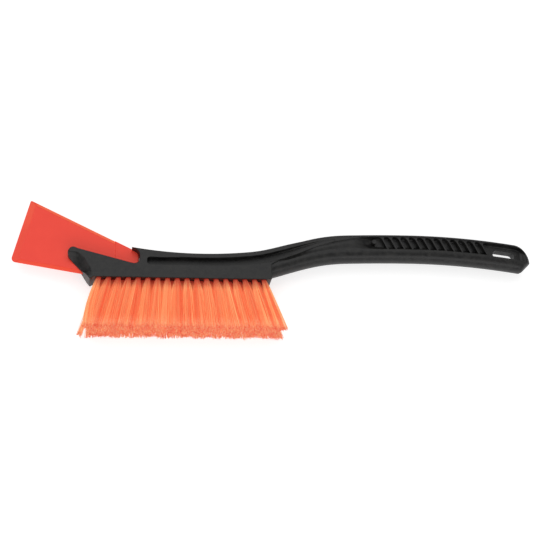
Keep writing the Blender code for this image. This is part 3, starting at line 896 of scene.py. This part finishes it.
groove_stations = [GROOVE_START + d for d in (0, 0.0003, 0.0008, 0.0015, 0.0025, 0.0040, 0.0060)]
groove_stations += spread(GROOVE_START + 0.008, GROOVE_END, STATION_STEP)
groove_cutter = add_piece("groove", both_sides(skin([groove_section(x) for x in groove_stations])))

# %% [markdown]
# ## The ribbed recess of the grip
# Both sides of the grip are hollowed for the fingers. The hollow steps in under the back, has a flat
# floor and eases out above the belly. Thirteen slanting ribs stand in it, joined by small arches.
# A comb-shaped slab is taken out of the cutter, so ribs and arches are what the cutter leaves.

# %% Draw the recess
RECESS_START = 0.010
RECESS_DEPTH = 0.0060
RECESS_STEP = 0.0018
RECESS_LIP = 0.0185
RECESS_RIM = 0.0030
RECESS_CLOSES = 0.0045


def recess_section(x):
    share = end_share(x)
    top = back_line(x) - (BAR_HEIGHT / 2 + END_DROP) * (1 - share)
    rim = RECESS_RIM + 0.0060 * (1 - smooth_step(x, 0.055, 0.115))
    lip = back_line(x) - RECESS_LIP
    ceiling = max(top - rim, lip + 0.0016)
    side = half_width(x)
    arrive = smooth_step(x, RECESS_START - 0.004, RECESS_START + 0.012)
    fade = 1 - 0.80 * smooth_step(x, 0.022, 0.050) * (1 - smooth_step(x, 0.096, 0.118))
    leave = smooth_step(HANDLE_END - x, RECESS_CLOSES - 0.001, RECESS_CLOSES + 0.0055)
    inner = side - 0.0006 - (RECESS_DEPTH - 0.0006) * arrive * leave * fade
    outer = side + CLEAR
    floor_top = ceiling - min(RECESS_STEP, (ceiling - lip) * 0.3)
    flat = 0.08 + 0.50 * smooth_step(x, 0.090, 0.130) + 0.34 * smooth_step(x, 0.243, 0.254)
    slope_start = floor_top - (floor_top - lip) * flat - 0.0002
    rim_in = side - 0.0005
    ring = [(ceiling + 0.0004, outer), (ceiling, rim_in)]
    for k in range(1, 7):
        turn = math.radians(15 * k)
        ring.append((ceiling - (ceiling - floor_top) * (1 - math.cos(turn)),
                     rim_in - (rim_in - inner) * math.sin(turn)))
    for k in range(9):
        climb = k / 8
        eased = climb * climb * (3 - 2 * climb)
        ring.append((slope_start - (slope_start - lip) * climb,
                     inner + (side + 0.0002 - inner) * eased))
    ring.append((lip - 0.0006, outer))
    return [(x, y, z) for y, z in ring]


recess_stations = spread(RECESS_START, HANDLE_END - END_ROUND, STATION_STEP)
recess_stations += spread(HANDLE_END - END_ROUND + 0.0015, HANDLE_END - RECESS_CLOSES, 0.0015)
recess_cutter = add_piece("recess", both_sides(skin([recess_section(x) for x in recess_stations])))
print("recess sections", len(recess_stations))

# %% Draw the comb of ribs
RIB_COUNT = 13
RIB_FIRST = 0.1297
RIB_PITCH = 0.00945
RIB_THICKNESS = 0.0021
RIB_LEAN = math.radians(24)
RIB_SET_BACK = 0.0006
rib_half = RIB_THICKNESS / 2 / math.cos(RIB_LEAN)
arch_radius = RIB_PITCH / 2 - rib_half
arch_foot = RECESS_LIP - RECESS_RIM - arch_radius


def comb_point(index, across, height):
    """A corner of the comb, from its rib, its distance from that rib's middle and its height."""
    foot = RIB_FIRST + RIB_PITCH * index + across
    lean = (height - RECESS_LIP / 2) * math.tan(RIB_LEAN)
    return (foot - lean, back_line(foot) - RECESS_LIP + height, 0)


def arch(index, side, turns):
    """Points of the quarter arch on one side of a rib."""
    points = []
    for turn in turns:
        across = RIB_PITCH / 2 - arch_radius * math.cos(math.radians(turn))
        height = arch_foot + arch_radius * math.sin(math.radians(turn))
        points.append(comb_point(index, side * across, height))
    return points


comb_corners = []
for index in range(RIB_COUNT):
    comb_corners += arch(index, -1, (90, 72, 54, 36, 18, 0))
    comb_corners.append(comb_point(index, -rib_half, -0.002))
    comb_corners.append(comb_point(index, rib_half, -0.002))
    comb_corners += arch(index, 1, (0, 18, 36, 54, 72) + ((90,) if index == RIB_COUNT - 1 else ()))
for index in reversed(range(RIB_COUNT)):
    comb_corners.append(comb_point(index, RIB_PITCH / 2, RECESS_LIP))
comb_corners.append(comb_point(0, -RIB_PITCH / 2, RECESS_LIP))
rib_front = BAR_WIDTH / 2 - RIB_SET_BACK
comb_mesh = slab(comb_corners, 0.001, rib_front)
soften(comb_mesh, edges_at(comb_mesh, rib_front), 0.00045, 2)
print("comb corners", len(comb_corners))

# %% Add the thumb pip and take both from the recess
PIP_RADIUS = 0.0026
PIP_AHEAD = 0.0118
PIP_HEIGHT = 0.0016

pip_x = RIB_FIRST - PIP_AHEAD
pip_top = BAR_WIDTH / 2 - PIP_HEIGHT + BAR_WIDTH / 4
pip_mesh = bmesh.new()
bmesh.ops.create_cone(
    pip_mesh, cap_ends=True, segments=32, radius1=PIP_RADIUS, radius2=PIP_RADIUS * 0.9,
    depth=BAR_WIDTH / 2,
    matrix=Matrix.Translation((pip_x, back_line(pip_x) - RECESS_LIP * 0.48, pip_top - BAR_WIDTH / 4)),
)
pip_front = max(v.co.z for v in pip_mesh.verts)
soften(pip_mesh, edges_at(pip_mesh, pip_front), PIP_RADIUS * 0.45, 5)
comb = add_piece("comb", both_sides(comb_mesh))
pip = add_piece("pip", both_sides(pip_mesh))
carve(recess_cutter, [comb, pip])
print("recess faces", len(recess_cutter.data.polygons))

# %% [markdown]
# ## The hanging slot
# The slot goes square through the web near the grip's end. It runs parallel to the back, which
# slopes there.

# %% Draw the hanging slot
SLOT_FROM_END = 0.0295
SLOT_LENGTH = 0.0250
SLOT_HEIGHT = 0.0092
SLOT_ABOVE_LIP = 0.0008

slot_x = HANDLE_END - SLOT_FROM_END
slot_y = back_line(slot_x) - RECESS_LIP + SLOT_ABOVE_LIP + SLOT_HEIGHT / 2
corners = [
    (side * SLOT_LENGTH / 2, way * SLOT_HEIGHT / 2, SLOT_HEIGHT * 0.4999)
    for side, way in ((-1, -1), (1, -1), (1, 1), (-1, 1))
]
slot_mesh = slab(corners, -BAR_WIDTH, BAR_WIDTH)
turn = Matrix.Rotation(back_slope(slot_x), 3, "Z")
bmesh.ops.rotate(slot_mesh, verts=slot_mesh.verts, cent=(0, 0, 0), matrix=turn)
bmesh.ops.translate(slot_mesh, verts=slot_mesh.verts, vec=(slot_x, slot_y, 0))
slot_cutter = add_piece("slot", slot_mesh)
print("slot at", round(slot_x, 4), round(slot_y, 4))

# %% [markdown]
# ## The tuft holes
# Bristles are stapled into blind holes, 18, 17 and 18 of them in three rows, each drilled along the
# direction in which its tuft will point. A hole is a capped circle, extruded to the surface and then
# flared, which breaks the sharp edge around its mouth.

# %% Lay out the tufts
TUFTS_PER_ROW = {"lower": 18, "middle": 17, "upper": 18}
TUFT_PITCH = 0.0103
TUFT_CENTRE = -0.0937
TUFT_TRIM = 0.0570
TUFT_ROOT_RADIUS = 0.0027
TUFT_TIP_GAP = 0.0010
BLOCK_SIDE_WALL = 0.0019
HOLE_DEPTH = 0.0115
HOLE_SIDES = 12
FAN_ALONG = math.radians(16)
FAN_ACROSS = math.radians(6)
fan_step = FAN_ALONG / ((max(TUFTS_PER_ROW.values()) - 1) / 2)
tuft_tip_radius = (TUFT_PITCH + TUFT_TRIM * fan_step - TUFT_TIP_GAP) / 2
hole_radius = (TUFT_ROOT_RADIUS + FIT) / math.cos(math.pi / HOLE_SIDES)
row_spacing = BLOCK_WIDTH / 2 - hole_radius - BLOCK_SIDE_WALL


def tuft_frame(row, index):
    """Where a tuft leaves the block's underside, and the direction in which it points."""
    place = index - (TUFTS_PER_ROW[row] - 1) / 2
    side = list(TUFTS_PER_ROW).index(row) - 1
    mouth = Vector((TUFT_CENTRE + place * TUFT_PITCH, 0, side * row_spacing))
    return mouth, Vector((math.tan(fan_step * place), -1, math.tan(FAN_ACROSS * side))).normalized()


tufts = [(row, index) for row, count in TUFTS_PER_ROW.items() for index in range(count)]
print(len(tufts), "tufts, tip radius", round(tuft_tip_radius * 1000, 2), "mm")

# %% Drill the holes
MOUTH_FLARE = 0.0004


def drill(bm, mouth, direction):
    """A blind hole along a direction, flared where it meets the underside."""
    turned = direction.to_track_quat("Z", "Y").to_matrix().to_4x4()
    made = bmesh.ops.create_circle(
        bm, cap_ends=True, segments=24, radius=hole_radius,
        matrix=Matrix.Translation(mouth - direction * HOLE_DEPTH) @ turned,
    )
    face = made["verts"][0].link_faces[0]
    for run, grow in ((HOLE_DEPTH - MOUTH_FLARE, 1.0), (MOUTH_FLARE, 1.12), (CLEAR, 1.0)):
        made = bmesh.ops.extrude_face_region(bm, geom=[face, *face.edges])
        face = next(f for f in made["geom"] if isinstance(f, bmesh.types.BMFace))
        bmesh.ops.translate(bm, verts=face.verts[:], vec=direction * run)
        centre = Matrix.Translation(-face.calc_center_median())
        bmesh.ops.scale(bm, vec=(grow, grow, grow), space=centre, verts=face.verts[:])


holes_mesh = bmesh.new()
for row, index in tufts:
    drill(holes_mesh, *tuft_frame(row, index))
bmesh.ops.recalc_face_normals(holes_mesh, faces=holes_mesh.faces)
holes_cutter = add_piece("holes", holes_mesh)
print("hole faces", len(holes_cutter.data.polygons))

# %% Cut everything out of the moulding
blade_space = add_piece(
    "blade_space", slab(blade_corners(FIT), -BLADE_THICKNESS / 2 - FIT, BLADE_THICKNESS / 2 + FIT)
)
boss_space = beyond(
    slab(blade_corners(FIT), -BOSS_THICKNESS / 2 - FIT, BOSS_THICKNESS / 2 + FIT), BOSS_START - FIT
)
boss_space = add_piece("boss_space", boss_space)
carve(handle, [scoop_cutter, groove_cutter, recess_cutter, slot_cutter])
carve(handle, [blade_space, boss_space, holes_cutter])
dress(handle, black_plastic, ["handle"])

# %% [markdown]
# ## One bristle filament
# A strand is a thin four-sided tube. It starts as a small capped circle on the staple, is extruded to
# the hole's mouth and then five times along a curve that fans out fast at first, as a bundle does
# when it leaves its hole. It stops where the trimmer would have cut it. Thousands of strands are
# needed, so each has only 26 faces.

# %% Grow one strand
STRAND_SIDES = 4
STRAND_STEPS = 6
STRAND_RADIUS = 0.00023
STRAND_DEPTH = 0.0094
FAN_EASE = 0.62
BEND_EASE = 2.6


def grow_strand(bm, root, leaving, tip, bow, bend, tint):
    """Extrudes one strand out of its hole and along a fanning curve, and stores its tint and run."""
    tint_layer = bm.verts.layers.float["tint"]
    along_layer = bm.verts.layers.float["along"]
    aim = (tip - root).normalized()
    axis = (leaving - root).normalized()
    ahead = axis * ((tip.y - leaving.y) / axis.y)
    fan = tip - leaving - ahead
    turned = aim.to_track_quat("Z", "Y").to_matrix().to_4x4()
    made = bmesh.ops.create_circle(
        bm, cap_ends=True, segments=STRAND_SIDES, radius=STRAND_RADIUS,
        matrix=Matrix.Translation(root) @ turned,
    )
    face = made["verts"][0].link_faces[0]
    for v in face.verts:
        v[tint_layer] = tint
    here = root
    for step in range(1, STRAND_STEPS + 1):
        run = ((step - 1) / (STRAND_STEPS - 1)) ** 1.2
        there = leaving + ahead * run + fan * run ** FAN_EASE
        there += bow * math.sin(math.pi * run) + bend * run ** BEND_EASE
        made = bmesh.ops.extrude_face_region(bm, geom=[face, *face.edges])
        face = next(f for f in made["geom"] if isinstance(f, bmesh.types.BMFace))
        bmesh.ops.translate(bm, verts=face.verts[:], vec=there - here)
        for v in face.verts:
            v[tint_layer] = tint
            v[along_layer] = run
        here = there


# %% [markdown]
# ## Bristle tufts
# In a tuft the strands keep their order as they fan out. They fan so wide along the row that
# neighbouring tufts mingle, except at its two ends. Strands cling together in little locks that share
# a shade and a lean. Packing has bent the first tufts inwards, all but the outer strands of the lower
# one, which leaves a gap at the scraper end.

# %% Plan a tuft's strands
STRANDS_PER_TUFT = 92
LOCKS_PER_TUFT = 9
GOLDEN_TURN = math.radians(137.508)
RAGGED = 0.0021
SPLAY_ALONG = 0.0056
FAN_RADIUS = 0.0086
FLOOR_GAP = 0.0002

rng = random.Random(20240117)
lowest_z = -brush_place.z + STRAND_RADIUS + FLOOR_GAP
highest_z = cad_box[1][2] - brush_place.z - STRAND_RADIUS


def strand_path(row, index, number, locks):
    """Root, hole mouth, tip, bow, bend and tint of one strand."""
    mouth, direction = tuft_frame(row, index)
    across = direction.cross(Vector((0, 0, 1))).normalized()
    other = direction.cross(across)
    reach = math.sqrt((number + 0.5) / STRANDS_PER_TUFT)
    turn = number * GOLDEN_TURN
    offset = across * math.cos(turn) + other * math.sin(turn)
    held = offset * reach * (TUFT_ROOT_RADIUS - STRAND_RADIUS)
    root = mouth - direction * STRAND_DEPTH + held
    lock = min(locks, key=lambda spot: (spot["turn"] - offset * reach).length)
    length = TUFT_TRIM / -direction.y
    stray = Vector((rng.gauss(0, 0.00055), 0, rng.gauss(0, 0.0005)))
    last = TUFTS_PER_ROW[row] - 1
    outside = (index == 0 and offset.x < 0) or (index == last and offset.x > 0)
    wide = tuft_tip_radius if outside else FAN_RADIUS
    spot = offset * reach
    grown = Vector((spot.x * wide, spot.y * tuft_tip_radius, spot.z * tuft_tip_radius))
    tip = mouth + direction * length + grown * rng.uniform(0.92, 1.0) + lock["lean"] + stray
    bend = Vector((0, 0, 0))
    if index == 0 and (row != "lower" or spot.x > -0.15):
        bend.x = SPLAY_ALONG * rng.uniform(0.92, 1.08)
    trim = -TUFT_TRIM + rng.uniform(-1, 1) * RAGGED * 0.5 + lock["cut"]
    leaving = mouth + held
    tip = leaving.lerp(tip, (trim - leaving.y) / (tip.y - leaving.y))
    tip.z = min(highest_z, max(lowest_z, tip.z))
    bow = Vector((rng.gauss(0, 0.00035), 0, rng.gauss(0, 0.0003))) + lock["bow"]
    tint = min(1.0, max(0.0, 0.75 * lock["tint"] + 0.25 * rng.random()))
    return root, leaving, tip, bow, bend, tint


# %% Make the tufts
def make_locks():
    """Small groups within a tuft that lean, bow and shade alike."""
    locks = []
    for number in range(LOCKS_PER_TUFT):
        reach = math.sqrt((number + 0.5) / LOCKS_PER_TUFT)
        turn = number * GOLDEN_TURN + rng.uniform(0, 0.8)
        locks.append({
            "turn": Vector((math.cos(turn), 0, math.sin(turn))) * reach,
            "lean": Vector((rng.gauss(0, 0.0007), 0, rng.gauss(0, 0.0005))),
            "bow": Vector((rng.gauss(0, 0.0004), 0, rng.gauss(0, 0.0003))),
            "cut": rng.uniform(-1, 1) * RAGGED * 0.5,
            "tint": rng.random(),
        })
    return locks


for row, index in tufts:
    bm = bmesh.new()
    bm.verts.layers.float.new("tint")
    bm.verts.layers.float.new("along")
    locks = make_locks()
    for number in range(STRANDS_PER_TUFT):
        grow_strand(bm, *strand_path(row, index, number, locks))
    bmesh.ops.recalc_face_normals(bm, faces=bm.faces)
    label = f"{row}_{index + 1:02d}"
    mesh = bpy.data.meshes.new(f"bristles_{label}")
    bm.to_mesh(mesh)
    bm.free()
    mesh.shade_smooth()
    mesh.transform(Matrix.Translation(brush_place))
    mesh.materials.append(bristle_finish)
    piece = bpy.data.objects.new(f"bristles_{label}", mesh)
    bpy.context.scene.collection.objects.link(piece)
    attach(piece, "root")
    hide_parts(f"tuft_{label}")
print(len(tufts), "tufts of", STRANDS_PER_TUFT, "strands")

# %% [markdown]
# ## The anchoring staples
# Each tuft is a folded bundle that a strip of flat wire drives to the bottom of its hole. The strips
# can't be seen once the bristles stand, but they are real pieces, so each row gets its set. A strip
# starts as a narrow grid, is bent by a shallow cosine and then extruded by the wire's gauge.

# %% Make the staple wire finish
staple_finish, tree, shader, coordinates = new_finish("zinc_wire")
shine = add_range(tree, add_noise(tree, coordinates, 1800, 3), 0.3, 0.7, 0.25, 0.45)
tree.links.new(shine, shader.inputs["Roughness"])
tone = add_range(tree, add_noise(tree, coordinates, 700, 2), 0.3, 0.7)
zinc_tone = add_mix(tree, tone, (0.46, 0.47, 0.49), (0.58, 0.58, 0.58))
tree.links.new(zinc_tone, shader.inputs["Base Color"])
shader.inputs["Metallic"].default_value = 1.0

# %% Drive the staples
STAPLE_LENGTH = 0.0050
STAPLE_WIDTH = 0.0012
STAPLE_GAUGE = 0.0004
STAPLE_DIP = 0.0004

for row in TUFTS_PER_ROW:
    bm = bmesh.new()
    for index in range(TUFTS_PER_ROW[row]):
        mouth, direction = tuft_frame(row, index)
        at = mouth - direction * (STRAND_DEPTH + STAPLE_WIDTH * 0.75)
        turned = direction.to_track_quat("Z", "Y").to_matrix().to_4x4()
        strip = bmesh.ops.create_grid(bm, x_segments=4, y_segments=1, size=0.5)["verts"]
        bmesh.ops.scale(bm, vec=(STAPLE_LENGTH, STAPLE_WIDTH, 1), verts=strip)
        for v in strip:
            v.co.z -= STAPLE_DIP * math.cos(math.pi * v.co.x / STAPLE_LENGTH)
        faces = list({f for v in strip for f in v.link_faces})
        made = bmesh.ops.extrude_face_region(bm, geom=faces)
        gauge = [v for v in made["geom"] if isinstance(v, bmesh.types.BMVert)]
        bmesh.ops.translate(bm, verts=gauge, vec=(0, 0, STAPLE_GAUGE))
        edgewise = Matrix.Rotation(math.radians(90), 4, "X")
        bmesh.ops.transform(
            bm, matrix=Matrix.Translation(at) @ turned @ edgewise, verts=strip + gauge
        )
    bmesh.ops.recalc_face_normals(bm, faces=bm.faces)
    dress(add_piece(f"staples_{row}", bm), staple_finish)

# %% [markdown]
# ## Studio
# A plain white floor, an even surround and two wide soft lights. The floor is a lit table, so it glows
# by itself and the shadow under the brush stays faint.

# %% Lay the floor
floor_finish, tree, shader, coordinates = new_finish("white_table")
cloudy = add_noise(tree, coordinates, 3.0, 2)
table_tone = add_mix(tree, cloudy, (0.50, 0.50, 0.50), (0.52, 0.52, 0.52))
tree.links.new(table_tone, shader.inputs["Base Color"])
shader.inputs["Roughness"].default_value = 0.8
shader.inputs["Specular IOR Level"].default_value = 0.1
shader.inputs["Emission Color"].default_value = (1, 1, 1, 1)
shader.inputs["Emission Strength"].default_value = 0.70

floor_mesh = bmesh.new()
bmesh.ops.create_grid(floor_mesh, x_segments=4, y_segments=4, size=4.0)
floor = add_piece("table_top", floor_mesh)
floor.data.materials.append(floor_finish)

# %% Hang the lights
def soft_light(name, place, aim, size, power):
    lamp = bpy.data.lights.new(name, "AREA")
    lamp.shape = "RECTANGLE"
    lamp.size, lamp.size_y = size
    lamp.energy = power
    lamp_object = bpy.data.objects.new(name, lamp)
    bpy.context.scene.collection.objects.link(lamp_object)
    lamp_object.location = place
    lamp_object.rotation_euler = (Vector(aim) - Vector(place)).to_track_quat("-Z", "Y").to_euler()


soft_light("overhead", (-0.3, 0.7, 1.7), (0, 0, 0), (2.4, 1.6), 15)
soft_light("front_fill", (0.2, -1.6, 0.9), (0, 0, 0.02), (2.2, 0.8), 11)

world = bpy.data.worlds.new("studio")
world.use_nodes = True
world.node_tree.nodes["Background"].inputs["Color"].default_value = (1, 1, 1, 1)
world.node_tree.nodes["Background"].inputs["Strength"].default_value = 0.46
bpy.context.scene.world = world
bpy.context.scene.view_settings.view_transform = "Standard"
